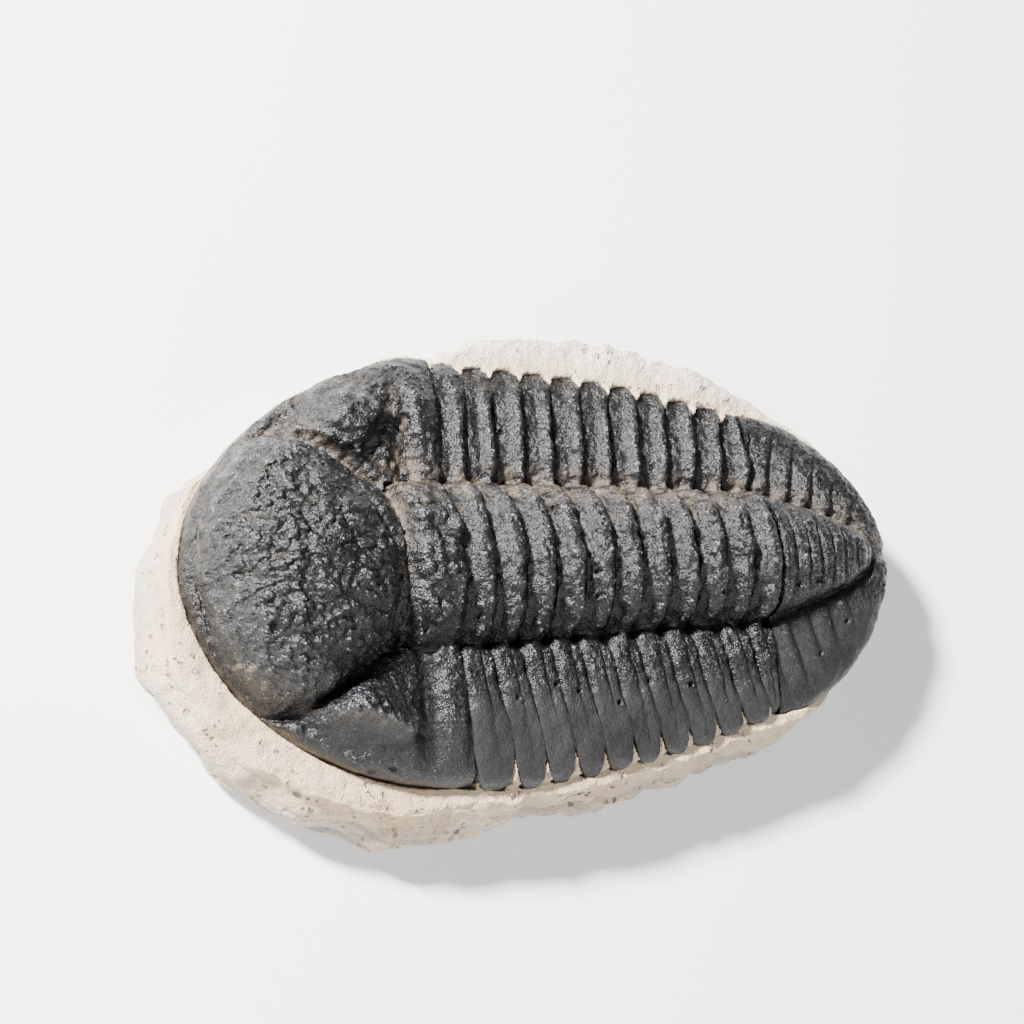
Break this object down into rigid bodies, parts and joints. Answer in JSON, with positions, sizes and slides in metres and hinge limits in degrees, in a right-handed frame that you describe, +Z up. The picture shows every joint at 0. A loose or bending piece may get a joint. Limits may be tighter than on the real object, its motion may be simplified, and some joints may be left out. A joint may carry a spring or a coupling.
{
  "type": "trilobite fossil on limestone matrix",
  "caption": "Black tuberculate trilobite lying on a broken slab of pale limestone, head shield, ringed thorax and tail shield exposed.",
  "frame": {"origin": "middle of the specimen's box, on the flat underside that the stone lies on", "axes": "+X along the animal from head to tail, +Y across it, +Z up out of the shell's back"},
  "size_m": [0.129, 0.078, 0.0343],
  "materials": {
    "limestone": "rough broken stone, chalky",
    "fossil_head": "granular semi-gloss",
    "fossil_thorax": "granular satin",
    "fossil_tail": "granular satin"
  },
  "bodies": {
    "root": {"matrix": "limestone", "head_shield": "fossil_head", "thorax_segment_01": "fossil_thorax", "thorax_segment_02": "fossil_thorax", "thorax_segment_03": "fossil_thorax", "thorax_segment_04": "fossil_thorax", "thorax_segment_05": "fossil_thorax", "thorax_segment_06": "fossil_thorax", "thorax_segment_07": "fossil_thorax", "thorax_segment_08": "fossil_thorax", "thorax_segment_09": "fossil_thorax", "thorax_segment_10": "fossil_thorax", "thorax_segment_11": "fossil_thorax", "tail_shield": "fossil_tail"}
  },
  "joints": []
}
